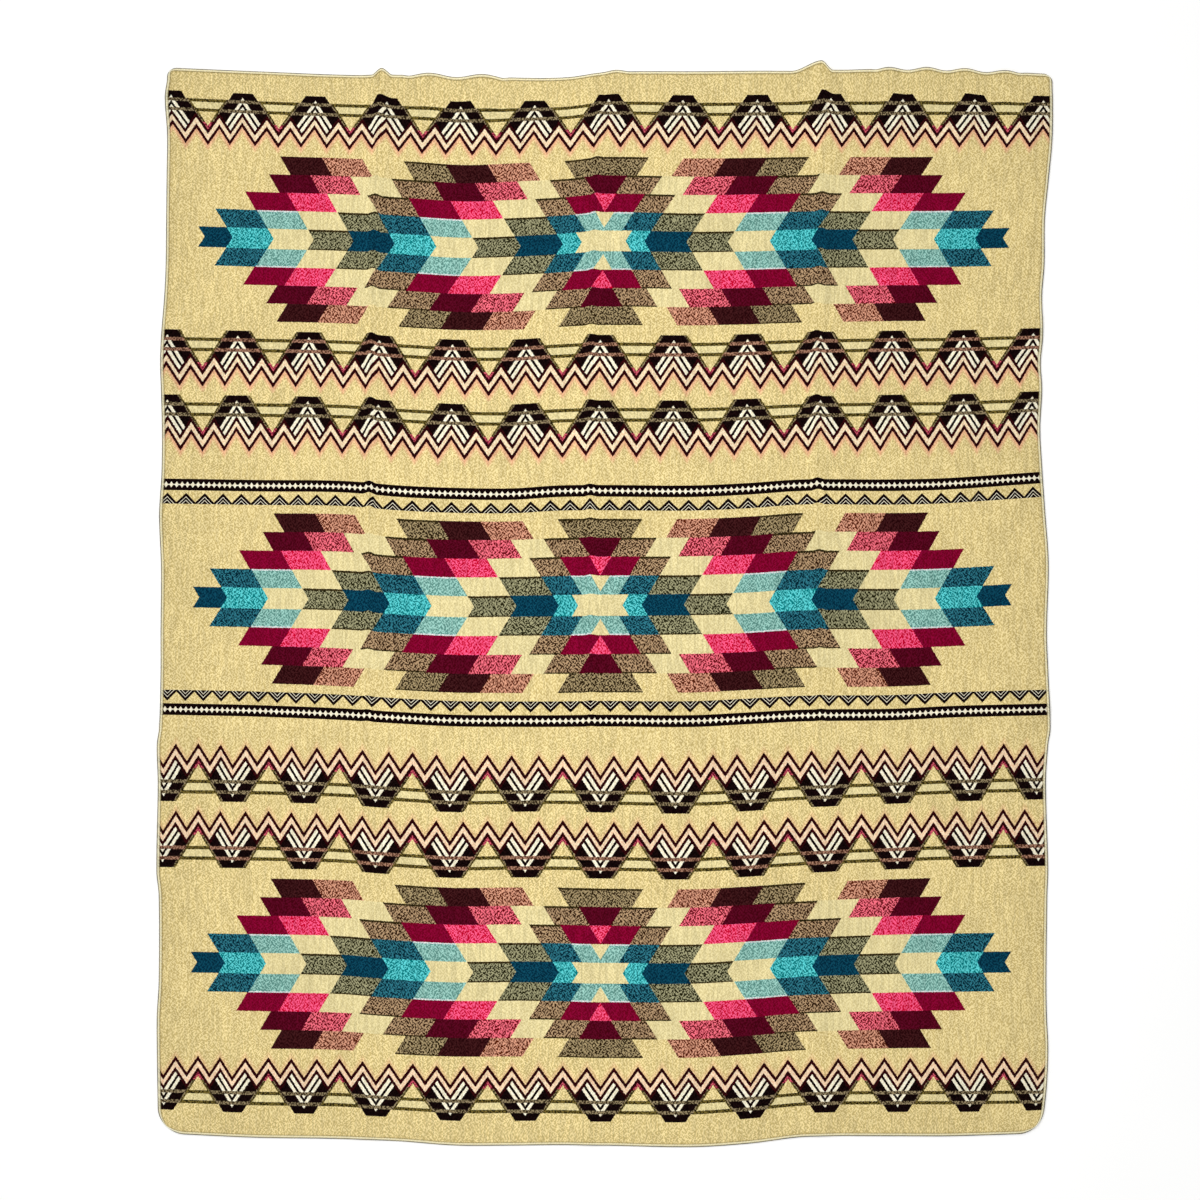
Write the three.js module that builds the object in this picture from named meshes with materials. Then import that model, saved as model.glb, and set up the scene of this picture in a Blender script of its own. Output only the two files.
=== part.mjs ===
// A woven blanket lying face up on a flat surface.
// It is one cloth panel with a thicker overlocked rim and rounded corners. Its wefts sag in the
// middle, its storage folds stand up as low ridges, and its edges run uneven.

import * as THREE from 'three';
import { mergeVertices } from 'three/addons/utils/BufferGeometryUtils.js';

// Driving dimensions in millimetres: X across the cloth, Y along it to the head end, Z up
const clothWidth = 1900;
const clothLength = 2290;
const clothThickness = 3;
const rimWidth = 9;
const rimRise = 0.8;
const headCornerRadius = 18;
const footCornerRadius = 54;
const widestCell = 90;
const tinySpan = 8;

const clothColour = 0xe0cb94;
const clothRoughness = 0.95;

const halfWidth = clothWidth / 2;
const halfLength = clothLength / 2;

// Nine wefts from foot to head
const weftPlaces = [
  { line: 'foot', along: -halfLength },
  { line: 'footBand', along: -1035 },
  { line: 'lowerBand', along: -430 },
  { line: 'lower', along: -240 },
  { line: 'middle', along: 0 },
  { line: 'upper', along: 240 },
  { line: 'upperBand', along: 430 },
  { line: 'headBand', along: 1035 },
  { line: 'head', along: halfLength },
];

// How far each of those wefts lies toward the head from straight, at places across the cloth
const weftLines = [
  { across: -940, head: 3, headBand: 7, upperBand: 13.5, upper: 15, middle: 14.5,
    lower: 14, lowerBand: 11, footBand: 10, foot: 9 },
  { across: -750, head: -5.5, headBand: -2, upperBand: 10.5, upper: 12, middle: 11,
    lower: 10, lowerBand: 8.5, footBand: 5, foot: 0 },
  { across: -560, head: -12.5, headBand: -8, upperBand: 7, upper: 10, middle: 7.5,
    lower: 3, lowerBand: 3.5, footBand: 2, foot: -3 },
  { across: -430, head: -12, headBand: -13.5, upperBand: -1.5, upper: 0, middle: -1.5,
    lower: -5, lowerBand: -6, footBand: -7, foot: -8 },
  { across: -310, head: -13.5, headBand: -21, upperBand: -7, upper: -5, middle: -7,
    lower: -11, lowerBand: -13, footBand: -12, foot: -17 },
  { across: -190, head: -18.5, headBand: -17, upperBand: -8, upper: -6, middle: -6,
    lower: -12, lowerBand: -12, footBand: -12, foot: -17 },
  { across: -95, head: -17.5, headBand: -13, upperBand: -2, upper: 0, middle: -5,
    lower: -12, lowerBand: -12, footBand: -13, foot: -16 },
  { across: 0, head: -6, headBand: -3.5, upperBand: 0.5, upper: 1, middle: -4,
    lower: -11, lowerBand: -13.5, footBand: -15, foot: -17 },
  { across: 190, head: -4.5, headBand: -6.5, upperBand: 0.5, upper: 0, middle: -2.5,
    lower: -12, lowerBand: -16, footBand: -14.5, foot: -20.5 },
  { across: 310, head: -3.5, headBand: -5.5, upperBand: 3.5, upper: 5, middle: 0.5,
    lower: -6, lowerBand: -10.5, footBand: -7, foot: -13 },
  { across: 430, head: -3.5, headBand: -4, upperBand: 8.5, upper: 13, middle: 8,
    lower: 0, lowerBand: -3, footBand: 3, foot: 1.5 },
  { across: 620, head: 1.5, headBand: -4.5, upperBand: 12.5, upper: 13, middle: 8.5,
    lower: 2, lowerBand: 5, footBand: 6, foot: 3 },
  { across: 750, head: -0.5, headBand: -4, upperBand: 13.5, upper: 16, middle: 12,
    lower: 8, lowerBand: 10, footBand: 6, foot: 3 },
  { across: 940, head: -10, headBand: -4, upperBand: 20, upper: 29, middle: 22,
    lower: 13, lowerBand: 14.5, footBand: 7, foot: 9 },
];

// Five warps between the side edges
const warpPlaces = [
  { line: 'outerLeft', across: -795 },
  { line: 'innerLeft', across: -475 },
  { line: 'middle', across: 0 },
  { line: 'innerRight', across: 475 },
  { line: 'outerRight', across: 795 },
];

// How far each of those warps lies to the right of straight, at places along the cloth
const warpLines = [
  { along: -1100, outerLeft: 1, innerLeft: -8, middle: -3, innerRight: 2, outerRight: -5 },
  { along: -430, outerLeft: 2, innerLeft: -9, middle: -3, innerRight: 2, outerRight: -5 },
  { along: 0, outerLeft: 6, innerLeft: -6, middle: -3, innerRight: 0, outerRight: -6 },
  { along: 480, outerLeft: 12, innerLeft: -2, middle: -5, innerRight: -8, outerRight: -19 },
  { along: 780, outerLeft: 18, innerLeft: 5, middle: 4, innerRight: 0, outerRight: -9 },
  { along: 1080, outerLeft: 24, innerLeft: 16, middle: 15, innerRight: 15, outerRight: 6 },
];

// How far the two side edges lie to the right of straight, at places along the cloth
const sideEdges = [
  { along: -1100, left: -5, right: -6 },
  { along: -1040, left: -6, right: 0 },
  { along: -960, left: -7, right: 3 },
  { along: -895, left: -7, right: 0 },
  { along: -820, left: -3, right: -1 },
  { along: -638, left: -3, right: 1 },
  { along: -585, left: -8, right: 3 },
  { along: -400, left: -5, right: -2 },
  { along: -316, left: -7, right: 3 },
  { along: -280, left: -2, right: 8 },
  { along: -160, left: 1, right: 3 },
  { along: -80, left: 1, right: 0 },
  { along: 60, left: 2, right: 4 },
  { along: 174, left: -2, right: -4 },
  { along: 264, left: 3, right: -10 },
  { along: 350, left: 4, right: -14 },
  { along: 440, left: 2, right: -10 },
  { along: 500, left: 0, right: -13 },
  { along: 560, left: 2, right: -8 },
  { along: 650, left: 9, right: -10 },
  { along: 720, left: 12, right: -5 },
  { along: 820, left: 13, right: -4 },
  { along: 908, left: 14, right: 4 },
  { along: 1000, left: 15, right: 12 },
  { along: 1080, left: 10, right: 13 },
  { along: 1120, left: 15, right: 12 },
];

// Ridges of the folds that run the length of the cloth
const lengthRidges = [
  { across: -498, reach: 44, headRise: 7, footRise: 1.5 },
  { across: -24, reach: 50, headRise: 3.5, footRise: 2 },
  { across: 464, reach: 46, headRise: 7, footRise: 2 },
];

// Where those folds push the head hem out, with a reach to each side and a reach along the cloth
const hemKicks = [
  { across: -492, left: 22, right: 24, shift: 14 },
  { across: 13, left: 30, right: 30, shift: 4 },
  { across: 452, left: 65, right: 25, shift: 21 },
];
const kickReach = 90;

// Low ridges of the folds that run across the cloth. The tilt is the climb per unit across.
const crossRidges = [
  { along: -573, from: 0, to: 430, reach: 34, rise: 2, tilt: 0.01 },
  { along: -273, from: -1000, to: -400, reach: 34, rise: 2.5, tilt: 0 },
  { along: -258, from: 540, to: 1000, reach: 38, rise: 2.5, tilt: 0.05 },
  { along: 174, from: -1000, to: -680, reach: 30, rise: 2, tilt: 0 },
  { along: 586, from: 640, to: 1000, reach: 34, rise: 2.5, tilt: 0.02 },
];
const ridgeEndFade = 90;

// Ripples along two stretches of the head hem, and how far they reach down from it
const hemRipples = [
  { from: -449, to: -213, pitch: 118, rise: 2.5, shift: 4 },
  { from: 558, to: 898, pitch: 85, rise: 3, shift: 3 },
];
const rippleReach = 100;

// 1 at zero, falling smoothly to 0 at one and beyond, the same on both sides
function fade(distance) {
  return 1 - THREE.MathUtils.smoothstep(Math.abs(distance), 0, 1);
}

function slopeAt(table, key, column, row) {
  const before = table[Math.max(row - 1, 0)];
  const after = table[Math.min(row + 1, table.length - 1)];
  return (after[column] - before[column]) / (after[key] - before[key]);
}

// One column of a table, read as a smooth curve over its key
function readTable(table, key, column, at) {
  const last = table.length - 1;
  const place = THREE.MathUtils.clamp(at, table[0][key], table[last][key]);
  const row = Math.min(Math.max(table.findIndex((entry) => entry[key] >= place), 1), last);
  const [low, high] = [table[row - 1], table[row]];
  const span = high[key] - low[key];
  const share = (place - low[key]) / span;
  const rest = 1 - share;
  const lowPart = low[column] * (1 + 2 * share) + slopeAt(table, key, column, row - 1) * span * share;
  const highPart = high[column] * (1 + 2 * rest) - slopeAt(table, key, column, row) * span * rest;
  return lowPart * rest * rest + highPart * share * share;
}

function weftShift(across, along) {
  const lines = weftPlaces.map((place) => ({
    along: place.along,
    shift: readTable(weftLines, 'across', place.line, across),
  }));
  return readTable(lines, 'along', 'shift', along);
}

function warpShift(across, along) {
  const inner = warpPlaces.map((place) => ({
    across: place.across,
    shift: readTable(warpLines, 'along', place.line, along),
  }));
  const left = { across: -halfWidth, shift: readTable(sideEdges, 'along', 'left', along) };
  const right = { across: halfWidth, shift: readTable(sideEdges, 'along', 'right', along) };
  return readTable([left, ...inner, right], 'across', 'shift', across);
}

function lengthRidge(ridge, across, along) {
  const crest = fade((across - ridge.across) / ridge.reach);
  const headShare = (along + halfLength) / clothLength;
  return crest * THREE.MathUtils.lerp(ridge.footRise, ridge.headRise, headShare);
}

function hemKick(kick, across, along) {
  const aside = across - kick.across;
  const reach = aside < 0 ? kick.left : kick.right;
  return fade(aside / reach) * fade((halfLength - along) / kickReach) * kick.shift;
}

function crossRidge(ridge, across, along) {
  const crestLine = ridge.along + ridge.tilt * (across - ridge.from);
  const crest = fade((along - crestLine) / ridge.reach);
  const start = THREE.MathUtils.smoothstep(across, ridge.from, ridge.from + ridgeEndFade);
  const end = 1 - THREE.MathUtils.smoothstep(across, ridge.to - ridgeEndFade, ridge.to);
  return crest * start * end * ridge.rise;
}

function hemRipple({ from, to, pitch, rise, shift }, across, along) {
  const inside = across > from && across < to;
  const strength = inside ? fade((halfLength - along) / rippleReach) : 0;
  const wave = Math.cos((2 * Math.PI * (across - from)) / pitch);
  return { rise: (strength * rise * (1 - wave)) / 2, shift: -strength * shift * wave };
}

// Carries the square grid's corner onto a quarter circle
function roundCorner(across, along) {
  const radius = along > 0 ? headCornerRadius : footCornerRadius;
  const pastX = (Math.abs(across) - halfWidth + radius) / radius;
  const pastY = (Math.abs(along) - halfLength + radius) / radius;
  if (pastX <= 0 || pastY <= 0) {
    return { across, along };
  }
  const roundX = pastX * Math.sqrt(1 - (pastY * pastY) / 2);
  const roundY = pastY * Math.sqrt(1 - (pastX * pastX) / 2);
  return {
    across: Math.sign(across) * (halfWidth - radius + radius * roundX),
    along: Math.sign(along) * (halfLength - radius + radius * roundY),
  };
}

// Where a point of the flat cloth lies once the blanket is spread out
function lay(flatAcross, flatAlong) {
  const { across, along } = roundCorner(flatAcross, flatAlong);
  const place = new THREE.Vector3(across + warpShift(across, along), along + weftShift(across, along));
  for (const ripple of hemRipples) {
    const { rise, shift } = hemRipple(ripple, across, along);
    place.y += shift;
    place.z += rise;
  }
  for (const ridge of lengthRidges) {
    place.z = Math.max(place.z, lengthRidge(ridge, across, along));
  }
  for (const kick of hemKicks) {
    place.y += hemKick(kick, across, along);
  }
  for (const ridge of crossRidges) {
    place.z = Math.max(place.z, crossRidge(ridge, across, along));
  }
  return place;
}

// Grid lines over one direction: every mark, with wide spans between marks divided evenly
function stations(half, marks) {
  const inside = marks.filter((mark) => Math.abs(mark) < half - tinySpan);
  const sorted = [-half, ...inside, half].sort((first, second) => first - second);
  const list = [sorted[0]];
  for (const mark of sorted.slice(1)) {
    const start = list[list.length - 1];
    const span = mark - start;
    if (span < tinySpan) {
      continue;
    }
    const steps = Math.ceil(span / widestCell);
    for (let step = 1; step <= steps; step += 1) {
      list.push(start + (span * step) / steps);
    }
  }
  return list;
}

function columnStations() {
  const insets = [rimWidth, headCornerRadius, footCornerRadius];
  const marks = insets.flatMap((inset) => [inset - halfWidth, halfWidth - inset]);
  for (const ridge of lengthRidges) {
    marks.push(...[-1, -0.5, 0, 0.5, 1].map((share) => ridge.across + share * ridge.reach));
  }
  for (const { across, left, right } of hemKicks) {
    marks.push(across - left, across - left / 2, across, across + right / 2, across + right);
  }
  for (const { from, to, pitch } of hemRipples) {
    for (let across = from; across < to; across += pitch / 2) {
      marks.push(across);
    }
  }
  return stations(halfWidth, marks);
}

function rowStations() {
  const marks = [rimWidth - halfLength, halfLength - rimWidth];
  marks.push(footCornerRadius - halfLength, halfLength - headCornerRadius);
  marks.push(halfLength - kickReach / 2, halfLength - kickReach);
  marks.push(...sideEdges.map((edge) => edge.along));
  for (const ridge of crossRidges) {
    marks.push(...[-1, 0, 1].map((share) => ridge.along + share * ridge.reach));
  }
  return stations(halfLength, marks);
}

function panelGeometry() {
  const columns = columnStations();
  const rows = rowStations();
  const grid = new THREE.BoxGeometry(2, 2, 2, columns.length - 1, rows.length - 1, 1);
  grid.deleteAttribute('normal');
  grid.deleteAttribute('uv');
  const geometry = mergeVertices(grid);
  const points = geometry.attributes.position;
  for (let index = 0; index < points.count; index += 1) {
    const column = Math.round(((points.getX(index) + 1) / 2) * (columns.length - 1));
    const row = Math.round(((points.getY(index) + 1) / 2) * (rows.length - 1));
    const place = lay(columns[column], rows[row]);
    const onEdge = Math.abs(points.getX(index)) === 1 || Math.abs(points.getY(index)) === 1;
    const thickness = clothThickness + (onEdge ? rimRise : 0);
    const height = points.getZ(index) > 0 ? thickness : 0;
    points.setXYZ(index, place.x, place.y, place.z + height);
  }
  geometry.computeBoundingBox();
  const middle = geometry.boundingBox.getCenter(new THREE.Vector3());
  geometry.translate(-middle.x, -middle.y, 0);
  geometry.computeVertexNormals();
  return geometry;
}

const cloth = new THREE.MeshStandardMaterial({
  color: clothColour,
  roughness: clothRoughness,
  metalness: 0,
});

const panel = new THREE.Mesh(panelGeometry(), cloth);
panel.name = 'woven_panel';

const blanket = new THREE.Group();
blanket.add(panel);

export default blanket;
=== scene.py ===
# A woven blanket spread face up on a pale floor: the cloth sheet on its folds, its woven
# pattern, and the overlock sewing round its edge.

import math

import bmesh
import bpy
import numpy as np
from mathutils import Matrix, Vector, noise


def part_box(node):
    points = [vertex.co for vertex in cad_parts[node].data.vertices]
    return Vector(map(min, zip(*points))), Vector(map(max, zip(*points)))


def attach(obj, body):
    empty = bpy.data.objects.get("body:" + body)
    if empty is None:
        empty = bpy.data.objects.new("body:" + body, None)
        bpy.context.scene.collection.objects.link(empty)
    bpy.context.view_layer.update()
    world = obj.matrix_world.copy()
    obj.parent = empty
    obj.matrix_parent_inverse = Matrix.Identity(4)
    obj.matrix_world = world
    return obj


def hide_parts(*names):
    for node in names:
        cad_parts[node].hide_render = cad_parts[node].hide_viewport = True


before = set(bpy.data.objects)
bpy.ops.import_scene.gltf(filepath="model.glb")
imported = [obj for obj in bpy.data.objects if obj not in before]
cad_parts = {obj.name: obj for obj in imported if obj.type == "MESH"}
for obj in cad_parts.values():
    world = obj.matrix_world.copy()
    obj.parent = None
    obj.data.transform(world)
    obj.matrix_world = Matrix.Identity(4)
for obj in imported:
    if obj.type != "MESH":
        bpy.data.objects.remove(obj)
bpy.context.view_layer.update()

# The flat cloth in millimetres: across it, along it to the head end, and up out of its face
MM = 0.001
CLOTH_WIDTH = 1900
CLOTH_LENGTH = 2290
HEAD_CORNER_RADIUS = 18
FOOT_CORNER_RADIUS = 54
WIDEST_CELL = 12
FINE_CELL = 4
FINE_REACH = 36
RIM_PULL = 3
BAKE_SHARE = 0.992
HALF_WIDTH = CLOTH_WIDTH / 2
HALF_LENGTH = CLOTH_LENGTH / 2

# The cloth's section at its edge: heights of the face and of the underside over the surface below
RIM_PROFILE = (
    dict(inset=0, face=2.0, underside=0.9),
    dict(inset=1.2, face=3.3, underside=0.3),
    dict(inset=3.5, face=3.8, underside=0),
    dict(inset=6.5, face=3.3, underside=0),
    dict(inset=9, face=3.1, underside=0),
    dict(inset=13, face=3.0, underside=0),
)

# Nine wefts from foot to head, and how far each lies toward the head from straight
WEFT_PLACES = dict(foot=-HALF_LENGTH, foot_band=-1035, lower_band=-430, lower=-240, middle=0,
                   upper=240, upper_band=430, head_band=1035, head=HALF_LENGTH)
WEFT_LINES = (
    dict(across=-940, head=3, head_band=7, upper_band=13.5, upper=15, middle=14.5,
         lower=14, lower_band=11, foot_band=10, foot=9),
    dict(across=-750, head=-5.5, head_band=-2, upper_band=10.5, upper=12, middle=11,
         lower=10, lower_band=8.5, foot_band=5, foot=0),
    dict(across=-560, head=-12.5, head_band=-8, upper_band=7, upper=10, middle=7.5,
         lower=3, lower_band=3.5, foot_band=2, foot=-3),
    dict(across=-430, head=-12, head_band=-13.5, upper_band=-1.5, upper=0, middle=-1.5,
         lower=-5, lower_band=-6, foot_band=-7, foot=-8),
    dict(across=-310, head=-13.5, head_band=-21, upper_band=-7, upper=-5, middle=-7,
         lower=-11, lower_band=-13, foot_band=-12, foot=-17),
    dict(across=-190, head=-18.5, head_band=-17, upper_band=-8, upper=-6, middle=-6,
         lower=-12, lower_band=-12, foot_band=-12, foot=-17),
    dict(across=-95, head=-17.5, head_band=-13, upper_band=-2, upper=0, middle=-5,
         lower=-12, lower_band=-12, foot_band=-13, foot=-16),
    dict(across=0, head=-6, head_band=-3.5, upper_band=0.5, upper=1, middle=-4,
         lower=-11, lower_band=-13.5, foot_band=-15, foot=-17),
    dict(across=190, head=-4.5, head_band=-6.5, upper_band=0.5, upper=0, middle=-2.5,
         lower=-12, lower_band=-16, foot_band=-14.5, foot=-20.5),
    dict(across=310, head=-3.5, head_band=-5.5, upper_band=3.5, upper=5, middle=0.5,
         lower=-6, lower_band=-10.5, foot_band=-7, foot=-13),
    dict(across=430, head=-3.5, head_band=-4, upper_band=8.5, upper=13, middle=8,
         lower=0, lower_band=-3, foot_band=3, foot=1.5),
    dict(across=620, head=1.5, head_band=-4.5, upper_band=12.5, upper=13, middle=8.5,
         lower=2, lower_band=5, foot_band=6, foot=3),
    dict(across=750, head=-0.5, head_band=-4, upper_band=13.5, upper=16, middle=12,
         lower=8, lower_band=10, foot_band=6, foot=3),
    dict(across=940, head=-10, head_band=-4, upper_band=20, upper=29, middle=22,
         lower=13, lower_band=14.5, foot_band=7, foot=9),
)

# Five warps between the side edges, and how far each lies to the right of straight
WARP_PLACES = dict(outer_left=-795, inner_left=-475, middle=0, inner_right=475, outer_right=795)
WARP_LINES = (
    dict(along=-1100, outer_left=1, inner_left=-8, middle=-3, inner_right=2, outer_right=-5),
    dict(along=-430, outer_left=2, inner_left=-9, middle=-3, inner_right=2, outer_right=-5),
    dict(along=0, outer_left=6, inner_left=-6, middle=-3, inner_right=0, outer_right=-6),
    dict(along=480, outer_left=12, inner_left=-2, middle=-5, inner_right=-8, outer_right=-19),
    dict(along=780, outer_left=18, inner_left=5, middle=4, inner_right=0, outer_right=-9),
    dict(along=1080, outer_left=24, inner_left=16, middle=15, inner_right=15, outer_right=6),
)

# How far the two side edges lie to the right of straight
SIDE_EDGES = (
    dict(along=-1100, left=-5, right=-6),
    dict(along=-1040, left=-6, right=0),
    dict(along=-960, left=-7, right=3),
    dict(along=-895, left=-7, right=0),
    dict(along=-820, left=-3, right=-1),
    dict(along=-638, left=-3, right=1),
    dict(along=-585, left=-8, right=3),
    dict(along=-400, left=-5, right=-2),
    dict(along=-316, left=-7, right=3),
    dict(along=-280, left=-2, right=8),
    dict(along=-160, left=1, right=3),
    dict(along=-80, left=1, right=0),
    dict(along=60, left=2, right=4),
    dict(along=174, left=-2, right=-4),
    dict(along=264, left=3, right=-10),
    dict(along=350, left=4, right=-14),
    dict(along=440, left=2, right=-10),
    dict(along=500, left=0, right=-13),
    dict(along=560, left=2, right=-8),
    dict(along=650, left=9, right=-10),
    dict(along=720, left=12, right=-5),
    dict(along=820, left=13, right=-4),
    dict(along=908, left=14, right=4),
    dict(along=1000, left=15, right=12),
    dict(along=1080, left=10, right=13),
    dict(along=1120, left=15, right=12),
)

# Folds that run the length of the cloth. Each draws the weft toward the head in a narrow kink, and
# more in a kick at the head hem, which has its own place and its own reach to each side.
LENGTH_RIDGES = (
    dict(across=-498, reach=44, head_rise=7, foot_rise=1.5, kink=5),
    dict(across=-24, reach=50, head_rise=3.5, foot_rise=2, kink=3),
    dict(across=464, reach=46, head_rise=7, foot_rise=2, kink=4),
)
HEM_KICKS = (
    dict(across=-492, left=22, right=24, shift=14),
    dict(across=13, left=30, right=30, shift=4),
    dict(across=452, left=65, right=25, shift=21),
)
KINK_REACH = 16
KINK_START = -600
KINK_FULL = 300
KICK_REACH = 90

# Folds that run across the cloth. The tilt is the climb toward the head per unit across.
CROSS_RIDGES = (
    dict(along=-573, start=0, end=430, reach=34, rise=2, tilt=0.01),
    dict(along=-273, start=-1000, end=-400, reach=34, rise=2.5, tilt=0),
    dict(along=-258, start=540, end=1000, reach=38, rise=2.5, tilt=0.05),
    dict(along=174, start=-1000, end=-680, reach=30, rise=2, tilt=0),
    dict(along=586, start=640, end=1000, reach=34, rise=2.5, tilt=0.02),
)
RIDGE_END_FADE = 90

# Sharp creases on the folds that run the length of the cloth
CREASE_REACH = 8
CREASE_DROP = 1.2
CREASE_WANDER = 5
CREASE_LINE = dict(core=0.5, reach=4)
CREASE_SHADE = dict(foot=0.04, head=0.2, faint=0.25)
CREASE_WANDER_SCALE = 0.008
CREASE_PATCH_SCALE = 0.03
CREASE_PATCH_OFFSET = 7
CREASE_PATCH_RANGE = (0.35, 0.65)

# Ripples along two stretches of the head hem, and how far they reach down from it
HEM_RIPPLES = (
    dict(start=-449, end=-213, pitch=118, rise=2.5, shift=4),
    dict(start=558, end=898, pitch=85, rise=3, shift=3),
)
RIPPLE_REACH = 100
RIPPLE_END_FADE = 24

# Soft unevenness all over the cloth
SWELL_RISE = 1.4
SWELL_ACROSS = 110
SWELL_ALONG = 150

# Woven yarns: the colours of their darker and lighter strands, red, green and blue out of 255
YARNS = dict(
    tan=((206, 184, 120), (247, 226, 164)),
    ivory=((217, 201, 144), (241, 226, 170)),
    umber=((38, 3, 6), (64, 24, 26)),
    rosewood=((88, 31, 8), (223, 160, 131)),
    olive=((36, 22, 2), (169, 149, 109)),
    walnut=((46, 22, 4), (185, 153, 116)),
    sage=((32, 30, 7), (161, 158, 121)),
    maroon=((68, 0, 14), (91, 6, 34)),
    rose=((104, 0, 10), (250, 114, 132)),
    crimson=((110, 0, 28), (138, 4, 52)),
    hot_pink=((198, 0, 44), (255, 94, 140)),
    teal=((0, 34, 48), (46, 118, 134)),
    navy=((0, 40, 60), (10, 72, 94)),
    pale_blue=((93, 144, 134), (159, 209, 197)),
    turquoise=((2, 121, 125), (95, 213, 216)),
    soot=((6, 0, 0), (24, 7, 8)),
    chalk=((242, 230, 198), (255, 251, 228)),
    moss=((34, 28, 6), (118, 102, 48)),
    stone=((48, 36, 20), (152, 135, 102)),
    clay=((78, 46, 32), (172, 128, 104)),
    blush=((238, 202, 162), (254, 236, 200)),
    oxblood=((28, 0, 2), (54, 6, 10)),
    berry=((110, 18, 44), (210, 92, 106)),
    bark=((30, 24, 6), (70, 56, 26)),
    foam=((182, 204, 202), (238, 234, 232)),
)
YARN_SLOTS = 32

# The three heather yarns stand side by side in the list, from olive to sage round walnut
HEATHER_MIDDLE = "walnut"
HEATHER_SLOTS = 1.5

# Strands, each darker or lighter than the ones a few steps from it, and paler or deeper streaks of
# yarn along the cloth. Strands wander a little, so edges in the medallions and mountains waver.
STRAND_WIDTH = 1.8
STRAND_LENGTH = 2.1
TURN_STEPS = ((-2, 0), (2, 0), (0, -2), (0, 2))
TURN_SHARE = 0.18
STRAND_RANGE = (0.3, 0.7)
FLECK_RANGE = (0.44, 0.56)
STREAK_WIDTH = 3.2
STREAK_LENGTH = 30
STREAK_STAGGER = 0.37
STREAK_TONES = (0.88, 1.12)
WANDER = 2.8
WANDER_ACROSS = dict(same=0.3, other=0.45)
WANDER_ALONG = dict(same=0.25, other=0.5)
CLOTH_BUMP = dict(strength=0.5, distance=0.0008, share=0.4)
CLOTH_ROUGHNESS = (0.97, 0.86)

# Slow changes of tone over the cloth, and toward its edge
CLOUD_SCALE = 0.008
CLOUD_RANGE = (0.3, 0.7)
CLOUD_TONES = (-0.03, 0.02)
EDGE_SHADE = dict(start=5, end=110, tone=0.93)

# The chart is the same on both sides of its axis, which lies beside the cloth's own, and of the
# middle weft. Its sizes are in millimetres, with distances taken outward from those two lines.
CHART_AXIS = -3.6
SELVAGE_START = 795
SELVAGE_TIGHTENING = 0.13

# Stepped medallions: rows of leaning blocks, from the middle row out to the cap row. Each row's
# blocks run from its point toward the axis, as yarns and widths in blocks.
MEDALLION_SPACING = 779
BLOCK_WIDTH = 90.3
BLOCK_LEAN = 0.61
MIDDLE_ROW_HALF = 22.3
ROW_HEIGHT = 39.8
FLOAT_WIDTHS = dict(dark_head=4.4, dark_foot=2.8, pale=2.8)
MEDALLION_ROWS = (
    dict(
        point=882,
        yarns=("navy", "turquoise", "ivory", "sage", "navy", "turquoise", "ivory", "sage",
               "navy", "turquoise", "ivory"),
        widths=(0.646, 1, 1, 1, 1, 1, 1, 1, 1, 0.45),
    ),
    dict(
        point=847.5,
        yarns=("teal", "pale_blue", "ivory", "sage", "teal", "pale_blue", "ivory", "sage",
               "teal", "pale_blue", "ivory"),
        widths=(0.99, 1, 1, 1, 1, 1, 1, 1, 0.7, 0.47),
    ),
    dict(
        point=785.5,
        yarns=("crimson", "hot_pink", "ivory", "walnut", "crimson", "hot_pink", "ivory",
               "walnut", "crimson", "hot_pink"),
        widths=(1.025, 1, 1, 1, 1, 1, 1, 0.72, 0.69),
    ),
    dict(
        point=734,
        yarns=("maroon", "rose", "ivory", "walnut", "maroon", "rose", "ivory", "walnut", "maroon"),
        widths=(1.02, 1, 1, 1, 1, 1, 0.77, 0.825),
    ),
    dict(
        point=710,
        yarns=("umber", "rosewood", "tan", "olive", "umber", "rosewood", "tan", "olive"),
        widths=(1.035, 1, 1, 1, 1, 1, 0.82),
    ),
)

# Mountain bands: rows of capped mountains over two zigzag lines, with heights taken from a base
# line toward the caps. The band at each hem is a little lower, and its caps have no outline.
MOUNTAIN_PITCH = 158.9
MOUNTAIN_BASES = dict(inner=339.6, outer=480.8, hem=1005.4)
HEM_BAND_SHARE = 0.947
BAND_TOP = 95.5
BAND_BOTTOM = -32
ARM = dict(top=45.3, slope=1.52)
TOOTH = dict(top=40.8, slope=1.47, place=53.4)
ZIGZAG_HALF = 5.4
LOWER_ZIGZAG = dict(arm_drop=22.9, tooth_drop=25.3, half=5.5)
NEST_EDGES = (5.4, 18, 27.4, 39.4)
NEST_YARNS = ("soot", "chalk", "soot", "chalk", "soot")
FLANK = dict(foot=86.2, slope=1.56, pale=3.4, dark=3.8)
CROSS_LINES = (dict(low=49.2, high=56.5), dict(low=71.5, high=78.9))
VALLEY_TOP = 25
BAND_WINDOW = dict(middle=440, half=142, hem_start=968)

# Pink that bleeds from the zigzags: outward, and at the foot also between the two lines
HAZE_COLOUR = (242, 146, 132)
HAZE_REACH = 18
HAZE_STRENGTH = dict(head=0.6, foot=0.25, between_at_foot=0.12)

# Chain of small diamonds on a dark band
CHAIN = dict(middle=240.5, window=13.4, half=12.4, pitch=12.25, diamond_half=6.5, slope=1.35,
             waist=1)

# Rows of small nested triangles that point away from the middle weft
TRIANGLES = dict(base=199.2, middle=211.6, window=13, pitch=42.25, slope=0.95)
TRIANGLE_EDGES = (7.2, 8.8, 14.4, 16, 23.6)
TRIANGLE_YARNS = ("soot", "chalk", "soot", "chalk", "soot", "tan")

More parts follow.
